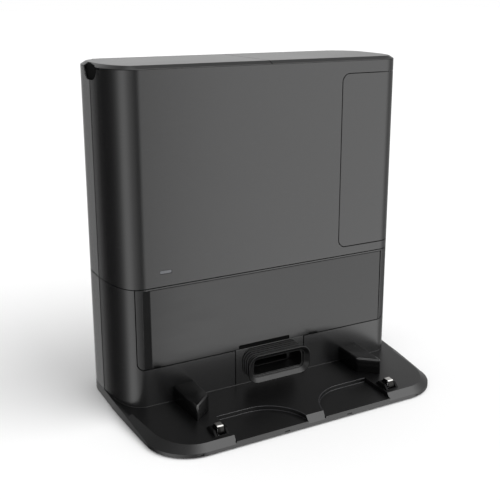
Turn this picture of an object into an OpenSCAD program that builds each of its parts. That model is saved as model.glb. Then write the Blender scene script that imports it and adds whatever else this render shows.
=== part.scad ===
// Docking station of a robot vacuum: dust emptying, water refill and charging.
// X runs to the right, Y to the back, Z up. The origin is on the floor, under the
// middle of the station. The body stands on the back of a low base plate, whose
// front part carries the robot.

/* [Body] */
// Width of the station
station_w = 400; // [380:5:420]
// Depth of the station, front lip to back wall
station_d = 250; // [244:2:270]
// Height of the station
station_h = 417.5; // [410:0.5:440]
// Depth of the base in front of the body
ramp_d = 113; // [108:1:120]
// Wall thickness of the housing shells
wall = 2.5; // [2:0.1:2.6]
// Front corner, measured along the front
corner_x = 28; // [26:1:30]
// Front corner, measured along the side
corner_y = 79; // [76:1:80]
// Radius of the rear corners
rear_r = 42; // [38:1:46]
// Height of the bevel round the lids
bevel = 4.2; // [3.5:0.1:5]
// Height of the seam between the lower and the upper housing
seam_z = 162; // [160:1:164]
// Width of a parting line
gap = 0.3; // [0.2:0.05:0.4]

/* [Base] */
// Height of the plateau that the body stands on
plateau_z = 13.7; // [13:0.1:15]
// Height of the floor of the two wells
well_z = 8.8; // [8.4:0.1:9.4]
// Half width over both wells
well_x = 106.7; // [104:0.1:108]
// Half width of the tab between the wells
tab_x = 11.7; // [10:0.1:14]
// Radius of the rounded inner side of a well
well_r = 53; // [50:1:55]
// Radius of the front corners of the base
base_r = 46; // [42:1:50]
// How much narrower the base is at the front, on each side
base_taper = 8; // [6:0.5:9]
// Thickness of the base moulding
base_t = 2.5; // [2:0.1:2.6]
// Height of the rubber feet
foot_h = 2; // [1.5:0.1:2]

/* [Lower front] */
// Bottom edge of the removable front panel
panel_z0 = 61.5; // [60:0.5:63]
// Half width of the removable front panel
panel_x = 169.5; // [166:0.5:170]
// Half width of the trim round the front panel
trim_x = 178.2; // [177:0.1:179]
// Half width of the mouth of the suction port
port_x = 45; // [40:1:46]
// Height of the mouth of the suction port
port_h = 38; // [34:1:38]
// Height of the middle of the suction port
port_z = 41.8; // [41:0.1:42]
// How far the suction port stands out of the body
port_out = 26; // [22:1:28]

/* [Upper front] */
// Left edge of the dust bin front
bin_x0 = 101.4; // [100:0.1:103]
// Bottom edge of the dust bin front
bin_z0 = 174; // [172:0.5:176]
// Top edge of the dust bin front
bin_z1 = 397.5; // [394:0.5:400]
// Width of a finger notch
notch_w = 40; // [34:1:44]
// Depth of a finger notch below the lid
notch_d = 14.8; // [12:0.1:16]

/* [Hidden] */

$fn = 48;
half_w = station_w / 2;
base_front = -station_d / 2;
body_back = station_d / 2;
body_front = base_front + ramp_d;
seam_y = body_front + 68;
corner_steps = 14;
inner = wall + 0.2;
cover_z = foot_h;
cover_t = 3;

lid_z = station_h - bevel;
lid_bevel_in = 6;
skirt_t = 2;
skirt_z = lid_z - 9;
shell_top = lid_z - gap;
hinge_y = body_back - 9;
hinge_z = station_h - 4;
hinge_r = 3.9;
hinge_pin_r = 1.5;
hinge_back = hinge_y + hinge_r + 0.5;
barrel_x = 170;
ear_w = 12;
split = 0.6;

deck_z = seam_z + 1;
deck_t = 3;
tank_z0 = deck_z + deck_t + 2;
tank_z1 = skirt_z - 2;
tank_in = wall + 2;
tank_back = hinge_y - 2;
tank_t = 2.2;
divider_t = 3;
bin_wall_x = bin_x0 - 4.4;
bin_in = inner + 0.4;
bin_t = 2.2;

valve_r = 8;
left_valve = [-110, 86];
right_valve = [50, 86];

duct_t = 2;
duct_x0 = -36;
duct_x1 = 176;
duct_y0 = body_front + 12;
duct_y1 = duct_y0 + 46;
duct_z0 = 22;
duct_z1 = 62;
duct_up_x = 132;

motor_xy = [98, 88];
can_r = 31;
can_z0 = 24;
can_z1 = 124;
shaft_r = 2.5;
impeller_z = 98;

foot_spots = [
    ["foot_front_left", -1, base_front + 34], ["foot_front_right", 1, base_front + 34],
    ["foot_rear_left", -1, body_back - 34], ["foot_rear_right", 1, body_back - 34]
];
screw_spots = [
    [-150, body_front + 7.5], [150, body_front + 7.5],
    [-187, seam_y + 22], [187, seam_y + 22],
    [-100, body_back - 12], [20, body_back - 12]
];
screw_r = 1.5;
contact_x = 119;
contact_y = base_front + 20.5;
contact_top = 23.6;
block_z = 34;

module box(x0, x1, y0, y1, z0, z1) {
    translate([x0, y0, z0]) cube([x1 - x0, y1 - y0, z1 - z0]);
}

// A quarter of an ellipse, counted in even steps from start angle a0
function corner(cx, cy, rx, ry, a0) = [
    for (k = [0:corner_steps])
        let (a = a0 + 90 * k / corner_steps) [cx + rx * cos(a), cy + ry * sin(a)]
];

// Plan of the body, moved in by i on every side
function body_plan(i) = concat(
    corner(half_w - corner_x, body_front + corner_y, corner_x - i, corner_y - i, 270),
    corner(half_w - rear_r, body_back - rear_r, rear_r - i, rear_r - i, 0),
    corner(rear_r - half_w, body_back - rear_r, rear_r - i, rear_r - i, 90),
    corner(corner_x - half_w, body_front + corner_y, corner_x - i, corner_y - i, 180)
);

// Plan of the base: the body's rear, straight sides that close in, round front corners
function base_plan(i) = concat(
    corner(half_w - base_taper - base_r, base_front + base_r, base_r - i, base_r - i, 270),
    [[half_w - i, body_front + 32]],
    corner(half_w - rear_r, body_back - rear_r, rear_r - i, rear_r - i, 0),
    corner(rear_r - half_w, body_back - rear_r, rear_r - i, rear_r - i, 90),
    [[i - half_w, body_front + 32]],
    corner(base_taper + base_r - half_w, base_front + base_r, base_r - i, base_r - i, 180)
);

module body_block(z0, z1, i) {
    translate([0, 0, z0]) linear_extrude(z1 - z0) polygon(body_plan(i));
}

module body_ring(z0, z1, i, t) {
    difference() {
        body_block(z0, z1, i);
        body_block(z0 - 1, z1 + 1, i + t);
    }
}

module front_half() { box(-300, 300, -300, seam_y, 0, 500); }
module rear_half() { box(-300, 300, seam_y + gap, 300, 0, 500); }

// A rounded rectangle of half width hx and half height hz, with corner radius r
module pill(hx, hz, r) {
    square([2 * hx, 2 * (hz - r)], center = true);
    square([2 * (hx - r), 2 * hz], center = true);
    for (sx = [-1, 1], sz = [-1, 1]) translate([sx * (hx - r), sz * (hz - r)]) circle(r);
}

// A rounded bar along Y between y0 and y1, around the middle of the port
module port_bar(hx, hz, r, y0, y1) {
    translate([0, y1, port_z]) rotate([90, 0, 0]) linear_extrude(y1 - y0) pill(hx, hz, r);
}

// ---- base -------------------------------------------------------------------

// One well: straight outer side and back, and a round inner side that ends at the tab
module well_plan() {
    centre_x = tab_x + well_r;
    translate([centre_x, base_front]) circle(well_r, $fn = 96);
    translate([centre_x, base_front - 20]) square([well_x - centre_x, well_r + 20]);
}

module wells(z0, z1) {
    for (m = [0, 1]) mirror([m, 0, 0])
        translate([0, 0, z0]) linear_extrude(z1 - z0) well_plan();
}

module ramp_cuts() {
    translate([0, base_front + 6, plateau_z]) rotate([50, 0, 0]) box(-300, 300, -40, 0, 0, 30);
    for (m = [0, 1]) mirror([m, 0, 0])
        translate([half_w - base_taper - 4, base_front, plateau_z])
            rotate([0, 50, 0]) rotate([0, 0, -4.6]) box(0, 40, -20, 100, 0, 30);
}

module screw_holes(z0, z1, r) {
    for (p = screw_spots) translate([p[0], p[1], z0]) cylinder(h = z1 - z0, r = r);
}

module base_tray() {
    color([0.11, 0.11, 0.12]) difference() {
        translate([0, 0, foot_h - 0.5]) linear_extrude(plateau_z - foot_h + 0.5)
            polygon(base_plan(0));
        difference() {
            translate([0, 0, 0]) linear_extrude(plateau_z - base_t) polygon(base_plan(3));
            wells(well_z - base_t, plateau_z);
        }
        translate([0, 0, 0]) linear_extrude(well_z - base_t) polygon(base_plan(3));
        wells(well_z, plateau_z + 1);
        ramp_cuts();
        screw_holes(0, plateau_z + 1, screw_r + 0.1);
        contact_wells();
    }
}

module contact_wells() {
    for (sx = [-1, 1]) translate([sx * contact_x, contact_y, 0])
        box(-4.5, 4.5, -7, 8.4, 0, plateau_z + 1);
}

module bottom_cover() {
    color([0.12, 0.12, 0.13]) difference() {
        translate([0, 0, cover_z]) linear_extrude(cover_t) polygon(base_plan(3.2));
        screw_holes(0, 20, screw_r + 0.1);
        screw_holes(0, cover_z + 1.8, 3.8);
    }
}

module foot(name) {
    for (f = foot_spots) if (f[0] == name)
        color([0.05, 0.05, 0.05]) translate([f[1] * 150, f[2], 0]) cylinder(h = foot_h, r = 12);
}

// Block that centres the robot: straight inside, slanted nose, bevelled top edges
module guide_block() {
    color([0.12, 0.12, 0.13]) intersection() {
        translate([0, body_front, plateau_z]) linear_extrude(block_z - plateau_z)
            polygon([[106.5, 0], [106.5, -40], [130.5, -61], [135, 0]]);
        translate([0, body_front, plateau_z - 20]) linear_extrude(60)
            polygon([[106, 5], [106, -41], [109, -44], [126, -59], [131, -62], [140, 5]]);
    }
}

// Dark wedge that carries a charging strip
module contact_pedestal() {
    color([0.1, 0.1, 0.11]) difference() {
        translate([contact_x - 9, contact_y, 0]) rotate([90, 0, 90]) linear_extrude(18)
            polygon([[-9, plateau_z], [-9, plateau_z + 1.5], [-3, 19], [9, 19], [15, plateau_z]]);
        box(contact_x - 6, contact_x + 6, contact_y - 8, contact_y + 8, 0, 30);
    }
}

// Bent metal strip that touches the robot's charging plate
module contact_strip() {
    color([0.8, 0.8, 0.8]) translate([contact_x - 4, contact_y, 0]) rotate([90, 0, 90])
        linear_extrude(8) polygon([
            [-6, 14.2], [-6, 18], [-4.2, 22.8], [-2.8, contact_top], [4.4, contact_top], [6, 23],
            [7.4, 17], [7.4, 14.2], [6.4, 14.2], [6.4, 16.8], [5.2, 22], [4.2, 22.6],
            [-2.4, 22.6], [-3.4, 22], [-5, 17.7], [-5, 14.2]
        ]);
}

module contact_spring() {
    color([0.6, 0.6, 0.62]) translate([contact_x, contact_y, cover_z + cover_t]) difference() {
        cylinder(h = 16.4, r = 2.4);
        translate([0, 0, -1]) cylinder(h = 20, r = 1.7);
    }
}

// ---- housing shells ---------------------------------------------------------

// Column for a housing screw, tied to the nearest wall
module boss(p) {
    side = abs(p[0]) > 180;
    translate([p[0], p[1], plateau_z]) difference() {
        union() {
            cylinder(h = 20, r = 4);
            if (side) box(min(0, sign(p[0]) * 11), max(0, sign(p[0]) * 11), -2, 2, 0, 20);
            else if (p[1] > 0) box(-2, 2, 0, 10.5, 0, 20);
            else box(-2, 2, -6, 0, 0, 20);
        }
        translate([0, 0, -1]) cylinder(h = 30, r = screw_r + 0.02);
    }
}

module lower_front_shell() {
    color([0.13, 0.13, 0.14]) difference() {
        union() {
            intersection() {
                body_ring(plateau_z, seam_z - gap / 2, 0, wall);
                front_half();
            }
            boss(screw_spots[0]);
            boss(screw_spots[1]);
        }
        box(-trim_x - gap, trim_x + gap, -300, seam_y - 40, panel_z0 - gap, 300);
        box(-50, 50, body_front - 5, body_front + 6, 0, panel_z0 + 1);
    }
}

module lower_rear_shell() {
    color([0.13, 0.13, 0.14]) difference() {
        union() {
            intersection() {
                body_ring(plateau_z, seam_z - gap / 2, 0, wall);
                rear_half();
            }
            for (k = [2:5]) boss(screw_spots[k]);
        }
        box(motor_xy[0] - 30, motor_xy[0] + 30, 100, 130, 40, 100);
        box(-171, -139, 100, 130, 29, 53);
    }
}

// U-shaped notch through a side wall, on the line between front and rear shell
module finger_notches() {
    r = notch_w * 0.35;
    translate([0, seam_y, shell_top + 30 - notch_d]) rotate([90, 0, 90])
        translate([0, 0, -300]) linear_extrude(600) difference() {
            translate([-notch_w / 2, -30]) square([notch_w, 60]);
            for (s = [-1, 1]) translate([s * notch_w / 2, -30]) difference() {
                translate([-r, -r]) square(2 * r);
                translate([-s * r, r]) circle(r);
                translate([-r, r]) square(2 * r);
                translate([s > 0 ? -3 * r : r, -r]) square(2 * r);
            }
        }
}

module upper_front_shell() {
    color([0.14, 0.14, 0.15]) difference() {
        intersection() {
            body_ring(seam_z + gap / 2, shell_top, 0, wall);
            front_half();
        }
        box(bin_x0 - gap, 300, -300, 300, bin_z0 - gap, bin_z1 + gap);
        finger_notches();
        translate([-140.5, 0, 179.4]) box(-7.6, 7.6, -20, 0, -2.1, 2.1);
    }
}

module upper_rear_shell() {
    color([0.14, 0.14, 0.15]) difference() {
        intersection() {
            body_ring(seam_z + gap / 2, shell_top, 0, wall);
            rear_half();
        }
        finger_notches();
    }
}

// Strip on the rear shell, behind the lids, with clips that reach down inside the wall
module hinge_strip() {
    color([0.14, 0.14, 0.15]) {
        intersection() {
            body_block(shell_top, station_h - 0.2, 0.4);
            box(-300, 300, hinge_back, 300, 0, 500);
        }
        for (x = [-120, -20, 80])
            box(x, x + 30, body_back - wall - 1.6, body_back - wall, shell_top - 8, shell_top + 1);
    }
}

module panel_trim() {
    color([0.12, 0.12, 0.13]) difference() {
        intersection() {
            body_ring(panel_z0, seam_z - gap, 0.1, wall);
            box(-trim_x, trim_x, -300, seam_y - 45, 0, 300);
        }
        box(-panel_x - 0.8, panel_x + 0.8, -300, body_front + 5, 0, seam_z - 3);
    }
}

module front_panel() {
    color([0.1, 0.1, 0.11]) difference() {
        box(-panel_x, panel_x, body_front + 0.4, body_front + 2.6, panel_z0, seam_z - 3.4);
        box(-45, 28, body_front - 1, body_front + 5, 0, panel_z0 + 5);
    }
}

module status_light() {
    color([0.75, 0.76, 0.78])
        translate([-140.5, body_front, 179.4]) box(-7.4, 7.4, 0.2, 3, -1.9, 1.9);
}

// ---- suction port and dust path ---------------------------------------------

module port_bezel() {
    color([0.13, 0.13, 0.14]) difference() {
        box(-49.7, 49.7, body_front, body_front + 2.5, plateau_z, panel_z0 - gap);
        port_bar(port_x - 6, port_h / 2 - 1, 11, body_front - 5, body_front + 8);
    }
}

module port_bellows() {
    y_lip = body_front - port_out + 6;
    rib = (port_out - 8) / 4;
    color([0.05, 0.05, 0.05]) difference() {
        union() {
            port_bar(port_x - 10, port_h / 2 - 3, 10, y_lip, body_front + 9);
            for (k = [0:3])
                port_bar(port_x - 3, port_h / 2 - 0.2, 13, y_lip + rib * k, y_lip + rib * (k + 0.55));
            port_bar(port_x - 1, port_h / 2 + 0.4, 13, body_front + 2.6, body_front + 5);
        }
        port_bar(port_x - 13, port_h / 2 - 6, 8, -300, 300);
    }
}

module port_lip() {
    y0 = body_front - port_out;
    color([0.06, 0.06, 0.06]) difference() {
        union() {
            port_bar(port_x, port_h / 2, 15, y0, y0 + 3);
            port_bar(port_x - 3, port_h / 2 - 2, 13, y0 + 3, y0 + 6);
        }
        port_bar(port_x - 6, port_h / 2 - 6, 10, y0 - 1, y0 + 20);
    }
}

module dust_duct() {
    color([0.2, 0.2, 0.21]) difference() {
        union() {
            box(duct_x0, duct_x1, duct_y0, duct_y1, duct_z0, duct_z1);
            box(duct_up_x, duct_x1, duct_y0, duct_y1, duct_z0, deck_z);
        }
        box(duct_x0 + duct_t, duct_x1 - duct_t, duct_y0 + duct_t, duct_y1 - duct_t,
            duct_z0 + duct_t, duct_z1 - duct_t);
        box(duct_up_x + duct_t, duct_x1 - duct_t, duct_y0 + duct_t, duct_y1 - duct_t,
            duct_z0 + duct_t, deck_z + 1);
        box(-30, 30, duct_y0 - 1, duct_y0 + 5, port_z - 12, port_z + 12);
    }
}

module duct_seal() {
    color([0.08, 0.08, 0.08]) difference() {
        box(-34, 34, body_front + 9, duct_y0, port_z - 15, port_z + 15);
        box(-30, 30, body_front, duct_y0 + 1, port_z - 12, port_z + 12);
    }
}

module bin_duct_hole(z0, z1) {
    box(duct_up_x + 3, duct_x1 - 3, duct_y0 + 3, duct_y1 - 3, z0, z1);
}

module middle_deck() {
    color([0.22, 0.22, 0.23]) difference() {
        body_block(deck_z, deck_z + deck_t, inner);
        for (p = [left_valve, right_valve]) translate([p[0], p[1], 0]) cylinder(h = 300, r = valve_r + 1);
        bin_duct_hole(0, 300);
        box(motor_xy[0] + 10, 180, 66, 108, 0, 300);
    }
}

module tank_divider() {
    color([0.2, 0.2, 0.21])
        box(-divider_t / 2, divider_t / 2, body_front + inner, tank_back, deck_z + deck_t, tank_z1 - 8);
}

module bin_divider() {
    color([0.2, 0.2, 0.21]) box(bin_wall_x, bin_wall_x + divider_t, body_front + inner, tank_back,
        deck_z + deck_t, tank_z1 - 8);
}

// ---- tanks and lids ---------------------------------------------------------

// Hinge ears at the back of a tank, one at each x in spots
module tank_ears(spots) {
    for (x = spots) translate([x - ear_w / 2, 0, 0]) {
        translate([0, hinge_y, hinge_z]) rotate([0, 90, 0]) cylinder(h = ear_w, r = hinge_r - 0.1);
        box(0, ear_w, hinge_y - 3, hinge_y + 1.5, tank_z1 - 12, hinge_z - 1);
        box(0, ear_w, tank_back - 3, hinge_y + 1.5, tank_z1 - 12, tank_z1 - 6);
    }
}

module pin_bores(spots, r) {
    for (x = spots) translate([x - 16, hinge_y, hinge_z]) rotate([0, 90, 0]) cylinder(h = 32, r = r);
}

left_ears = [-140, -50];
right_ears = [22, 78];

module clean_tank() {
    color([0.3, 0.32, 0.34]) difference() {
        union() {
            difference() {
                intersection() {
                    body_block(tank_z0, tank_z1, tank_in);
                    box(-300, -divider_t / 2 - 1, -300, tank_back, 0, 500);
                }
                intersection() {
                    body_block(tank_z0 + tank_t, tank_z1 + 1, tank_in + tank_t);
                    box(-300, -divider_t / 2 - 1 - tank_t, -300, tank_back - tank_t, 0, 500);
                }
            }
            tank_ears(left_ears);
        }
        pin_bores(left_ears, hinge_pin_r + 0.01);
        translate([left_valve[0], left_valve[1], 0]) cylinder(h = 300, r = valve_r - 2);
    }
}

module used_tank() {
    color([0.28, 0.28, 0.3]) difference() {
        union() {
            difference() {
                box(divider_t / 2 + 1, bin_wall_x - 1, body_front + tank_in, tank_back, tank_z0, tank_z1);
                box(divider_t / 2 + 1 + tank_t, bin_wall_x - 1 - tank_t, body_front + tank_in + tank_t,
                    tank_back - tank_t, tank_z0 + tank_t, tank_z1 + 1);
            }
            tank_ears(right_ears);
        }
        pin_bores(right_ears, hinge_pin_r + 0.01);
        translate([right_valve[0], right_valve[1], 0]) cylinder(h = 300, r = valve_r - 2);
    }
}

// Spout under a tank that plugs into the deck
module tank_valve(p) {
    color([0.7, 0.7, 0.72]) translate([p[0], p[1], 0]) difference() {
        union() {
            translate([0, 0, deck_z - 4]) cylinder(h = tank_z0 - deck_z + 4, r = valve_r);
            translate([0, 0, deck_z - 4]) cylinder(h = tank_z0 - deck_z + 10, r = valve_r - 2.1);
        }
        translate([0, 0, deck_z - 6]) cylinder(h = 30, r = 2.5);
    }
}

module hinge_barrel(x0, x1) {
    translate([x0, hinge_y, hinge_z]) rotate([0, 90, 0]) cylinder(h = x1 - x0, r = hinge_r);
}

// Cone at the outer end of the barrel, which clears the rounded rear corner as the lid turns
module barrel_tip(side) {
    translate([side * barrel_x, hinge_y, hinge_z]) rotate([0, side * 90, 0])
        cylinder(h = 7, r1 = hinge_r, r2 = 1);
}

module lid(x0, x1, ears) {
    difference() {
        union() {
            intersection() {
                hull() {
                    body_block(lid_z, lid_z + 0.2, 0);
                    body_block(station_h - 0.2, station_h, lid_bevel_in);
                }
                box(x0, x1, -300, hinge_y - 0.5, 0, 500);
            }
            intersection() {
                body_ring(skirt_z, lid_z + 1, wall + 0.5, skirt_t);
                box(x0, x1, -300, hinge_y - 12, 0, 500);
            }
            hinge_barrel(max(x0, -barrel_x), min(x1, barrel_x));
            barrel_tip(x0 < 0 ? -1 : 1);
        }
        for (x = ears) translate([x, 0, 0])
            box(-ear_w / 2 - 0.4, ear_w / 2 + 0.4, hinge_y - 5, 200, lid_z - 20, 500);
        pin_bores(ears, hinge_pin_r + 0.05);
    }
}

module left_lid() {
    color([0.2, 0.2, 0.21]) difference() {
        lid(-half_w, -split / 2, left_ears);
        box(-300, -half_w + 7, seam_y - notch_w / 2 + 4, seam_y + notch_w / 2 - 4, 0, lid_z + 1.5);
    }
}

module right_lid() {
    color([0.2, 0.2, 0.21]) difference() {
        lid(split / 2, half_w, right_ears);
        box(half_w - 7, 300, seam_y - notch_w / 2 + 4, seam_y + notch_w / 2 - 4, 0, lid_z + 1.5);
    }
}

module lid_pins(ears) {
    color([0.6, 0.6, 0.62]) for (x = ears)
        translate([x - 13, hinge_y, hinge_z]) rotate([0, 90, 0]) cylinder(h = 26, r = hinge_pin_r);
}

module lid_seal(x0, x1) {
    color([0.07, 0.07, 0.07]) difference() {
        intersection() {
            body_block(tank_z1 + 0.4, lid_z, tank_in + 1);
            box(x0, x1, -300, tank_back - 10, 0, 500);
        }
        intersection() {
            body_block(tank_z1 - 1, lid_z + 1, tank_in + 4);
            box(x0 + 3, x1 - 3, -300, tank_back - 13, 0, 500);
        }
    }
}

// ---- dust bin ---------------------------------------------------------------

module bin_tray() {
    color([0.22, 0.22, 0.23]) difference() {
        intersection() {
            body_block(deck_z + deck_t, bin_z0 - 0.2, inner);
            box(bin_x0 + 2, 188, body_front + 10, tank_back - 6, 0, 500);
        }
        bin_duct_hole(0, 300);
        box(motor_xy[0] + 12, 180, 66, 102, 0, 300);
    }
}

module dust_bin() {
    color([0.25, 0.25, 0.27, 0.8]) difference() {
        intersection() {
            body_block(bin_z0 + 0.3, bin_z1 - 0.6, bin_in);
            box(bin_x0 + 0.6, 300, -300, tank_back, 0, 500);
        }
        intersection() {
            body_block(bin_z0 + 0.3 + bin_t, bin_z1 - 0.6 - bin_t, bin_in + bin_t);
            box(bin_x0 + 0.6 + bin_t, 300, -300, tank_back - bin_t, 0, 500);
        }
        bin_duct_hole(0, bin_z0 + 10);
        box(120, 174, 68, 100, 0, bin_z0 + 10);
    }
}

module bin_fascia() {
    color([0.14, 0.14, 0.15]) {
        intersection() {
            body_ring(bin_z0, bin_z1, 0, wall);
            box(bin_x0, 300, -300, seam_y - gap, 0, 500);
        }
        for (x = [112, 160])
            box(x, x + 8, body_front + wall - 0.1, body_front + bin_in, bin_z0 + 20, bin_z1 - 20);
    }
}

module bin_filter() {
    color([0.85, 0.85, 0.8]) translate([120, 68, bin_z0 + 3]) {
        cube([54, 32, 40]);
        for (k = [0:8]) translate([1 + 6 * k, -2, 3]) cube([3, 36, 34]);
    }
}

// ---- inside the lower housing -----------------------------------------------

module motor_housing() {
    color([0.2, 0.2, 0.22]) translate([motor_xy[0], motor_xy[1], 0]) difference() {
        translate([0, 0, can_z0]) cylinder(h = can_z1 - can_z0, r = can_r);
        translate([0, 0, can_z0 + 2]) cylinder(h = can_z1 - can_z0 - 4, r = can_r - 2.5);
        cylinder(h = 300, r = 14);
        box(-18, 18, 20, 40, 46, 90);
    }
}

module suction_motor() {
    color([0.5, 0.5, 0.52]) translate([motor_xy[0], motor_xy[1], 0]) difference() {
        union() {
            translate([0, 0, 40]) cylinder(h = 50, r = 21);
            translate([0, 0, 90]) cylinder(h = 5, r = 8);
            translate([0, 0, can_z0 + 2]) cylinder(h = 14, r = 16);
        }
        translate([0, 0, can_z0]) cylinder(h = 100, r = shaft_r + 0.05);
    }
}

module motor_shaft() {
    color([0.75, 0.75, 0.76]) translate([motor_xy[0], motor_xy[1], can_z0 + 6])
        cylinder(h = impeller_z + 14 - can_z0 - 6, r = shaft_r);
}

module impeller() {
    color([0.85, 0.85, 0.86]) translate([motor_xy[0], motor_xy[1], impeller_z]) difference() {
        union() {
            cylinder(h = 2, r = 26);
            cylinder(h = 12, r = 7);
            for (k = [0:6]) rotate([0, 0, k * 360 / 7]) translate([5, -0.8, 1]) cube([20, 1.6, 9]);
        }
        translate([0, 0, -1]) cylinder(h = 20, r = shaft_r);
    }
}

module hepa_filter() {
    color([0.85, 0.85, 0.82]) {
        box(motor_xy[0] - 26, motor_xy[0] + 74, 64, 110, 130, 133);
        for (k = [0:11]) box(motor_xy[0] - 24 + 8 * k, motor_xy[0] - 20 + 8 * k, 66, 108, 132, 152);
    }
}

module exhaust_grille() {
    color([0.1, 0.1, 0.1]) difference() {
        box(motor_xy[0] - 29.7, motor_xy[0] + 29.7, body_back - 2.6, body_back - 0.3, 40.3, 99.7);
        for (k = [0:8])
            box(motor_xy[0] - 26, motor_xy[0] + 26, 100, 200, 44 + 6 * k, 47 + 6 * k);
    }
}

module pump(x, y, z) {
    translate([x, y, z]) {
        rotate([0, 90, 0]) translate([-16, 0, -18]) cylinder(h = 36, r = 14);
        box(18, 34, -12, 12, 3, 29);
        box(-20, 20, -15, 15, -1.3, 2.5);
        translate([26, 0, 29]) difference() {
            cylinder(h = 8, r = 4);
            cylinder(h = 20, r = 2);
        }
    }
}

module water_pump() {
    color([0.35, 0.35, 0.38]) pump(-136, 86, plateau_z + 1.3);
}

module drain_pump() {
    color([0.35, 0.35, 0.38]) pump(24, 86, plateau_z + 1.3);
}

// Hose from a pump's spout straight up to the tank valve above it
module riser(p) {
    z0 = plateau_z + 1.3 + 37;
    color([0.75, 0.75, 0.78]) translate([p[0], p[1], z0]) difference() {
        cylinder(h = deck_z - 5 - z0, r = 4);
        translate([0, 0, -1]) cylinder(h = 200, r = 2.6);
    }
}

module main_board() {
    color([0.1, 0.35, 0.2]) {
        box(-160, -60, 20, 21.6, 76, 150);
        box(-150, -120, 21.6, 26, 90, 110);
        box(-110, -96, 21.6, 24, 90, 104);
        box(-90, -66, 21.6, 33, 120, 140);
    }
}

module power_supply() {
    color([0.25, 0.25, 0.27]) box(-80, -6, 70, 116, plateau_z + 2, 58);
}

module power_inlet() {
    color([0.08, 0.08, 0.08]) difference() {
        union() {
            box(-170.6, -139.4, body_back - 2.4, body_back - 0.2, 29.4, 52.6);
            box(-167, -143, body_back - 22, body_back - 2.4, 33, 49);
        }
        box(-165, -145, body_back - 18, 200, 35, 47);
    }
    color([0.8, 0.8, 0.8]) for (x = [-159, -151])
        translate([x, body_back - 18.5, 41]) rotate([-90, 0, 0]) cylinder(h = 12, r = 1.2);
}

module beacon_board() {
    color([0.1, 0.3, 0.2]) {
        box(-30, 30, body_front + 8, body_front + 9.6, 84, 104);
        for (x = [-16, 0, 16])
            translate([x, body_front + 8.2, 94]) rotate([90, 0, 0]) cylinder(h = 4, r = 2.5);
    }
}

module housing_screws() {
    color([0.6, 0.6, 0.62]) for (p = screw_spots) translate([p[0], p[1], 0]) {
        translate([0, 0, cover_z + 0.3]) cylinder(h = 1.5, r = 3.4);
        translate([0, 0, cover_z + 1]) cylinder(h = 26, r = screw_r);
    }
}

base_tray();
bottom_cover();
foot("foot_front_left");  // foot_front_left
foot("foot_front_right");  // foot_front_right
foot("foot_rear_left");  // foot_rear_left
foot("foot_rear_right");  // foot_rear_right
mirror([1, 0, 0]) guide_block();  // guide_block_left
guide_block();  // guide_block_right
mirror([1, 0, 0]) contact_pedestal();  // contact_pedestal_left
contact_pedestal();  // contact_pedestal_right
mirror([1, 0, 0]) contact_strip();  // contact_strip_left
contact_strip();  // contact_strip_right
mirror([1, 0, 0]) contact_spring();  // contact_spring_left
contact_spring();  // contact_spring_right
lower_front_shell();
lower_rear_shell();
upper_front_shell();
upper_rear_shell();
hinge_strip();
panel_trim();
front_panel();
port_bezel();
port_bellows();
port_lip();
dust_duct();
duct_seal();
middle_deck();
tank_divider();
bin_divider();
clean_tank();
tank_valve(left_valve);  // clean_tank_valve
left_lid();
lid_pins(left_ears);  // left_lid_pins
lid_seal(-half_w, -divider_t / 2 - 2);  // left_lid_seal
used_tank();
tank_valve(right_valve);  // used_tank_valve
right_lid();
lid_pins(right_ears);  // right_lid_pins
lid_seal(divider_t / 2 + 2, bin_wall_x - 2);  // right_lid_seal
bin_tray();
dust_bin();
bin_fascia();
bin_filter();
motor_housing();
suction_motor();
motor_shaft();
impeller();
hepa_filter();
exhaust_grille();
water_pump();
drain_pump();
riser(left_valve);  // water_hose
riser(right_valve);  // drain_hose
main_board();
power_supply();
power_inlet();
beacon_board();
status_light();
housing_screws();
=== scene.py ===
"""Docking station of a robot vacuum: the visible pieces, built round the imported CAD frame."""

import math
from collections import namedtuple

import bmesh
import bpy
from bpy.props import FloatProperty, FloatVectorProperty, IntProperty, PointerProperty
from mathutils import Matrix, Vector


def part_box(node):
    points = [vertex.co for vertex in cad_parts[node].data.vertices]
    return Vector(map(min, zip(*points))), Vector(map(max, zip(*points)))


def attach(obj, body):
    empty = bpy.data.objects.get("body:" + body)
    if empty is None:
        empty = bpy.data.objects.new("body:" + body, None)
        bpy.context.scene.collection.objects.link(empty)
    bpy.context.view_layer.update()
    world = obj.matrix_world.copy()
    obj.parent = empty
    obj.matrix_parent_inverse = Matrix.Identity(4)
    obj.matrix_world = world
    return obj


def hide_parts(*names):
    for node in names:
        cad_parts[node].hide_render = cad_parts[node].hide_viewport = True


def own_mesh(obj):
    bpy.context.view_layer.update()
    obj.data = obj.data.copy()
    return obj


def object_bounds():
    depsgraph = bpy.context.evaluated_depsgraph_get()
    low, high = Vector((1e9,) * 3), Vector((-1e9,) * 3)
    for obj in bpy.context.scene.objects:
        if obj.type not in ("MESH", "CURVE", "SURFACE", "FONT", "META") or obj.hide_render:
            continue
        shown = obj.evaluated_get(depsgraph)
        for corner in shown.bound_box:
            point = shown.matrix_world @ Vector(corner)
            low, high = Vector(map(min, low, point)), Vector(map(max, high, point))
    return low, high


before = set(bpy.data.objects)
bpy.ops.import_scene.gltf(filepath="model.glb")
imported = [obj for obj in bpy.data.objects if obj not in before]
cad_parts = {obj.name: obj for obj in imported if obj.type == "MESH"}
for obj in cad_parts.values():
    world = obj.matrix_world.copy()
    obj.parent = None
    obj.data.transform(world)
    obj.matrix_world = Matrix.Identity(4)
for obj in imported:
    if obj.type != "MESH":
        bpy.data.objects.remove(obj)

bl_info = {
    "name": "Docking Station",
    "version": (1, 0, 0),
    "blender": (4, 5, 0),
    "location": "View3D > Sidebar > Station",
    "description": "Builds the visible pieces of a robot vacuum's docking station",
    "category": "Object",
}

MM = 0.001
CAD_LOW, CAD_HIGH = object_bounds()
Span = namedtuple("Span", "x0 x1 y0 y1 z0 z1")


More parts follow.
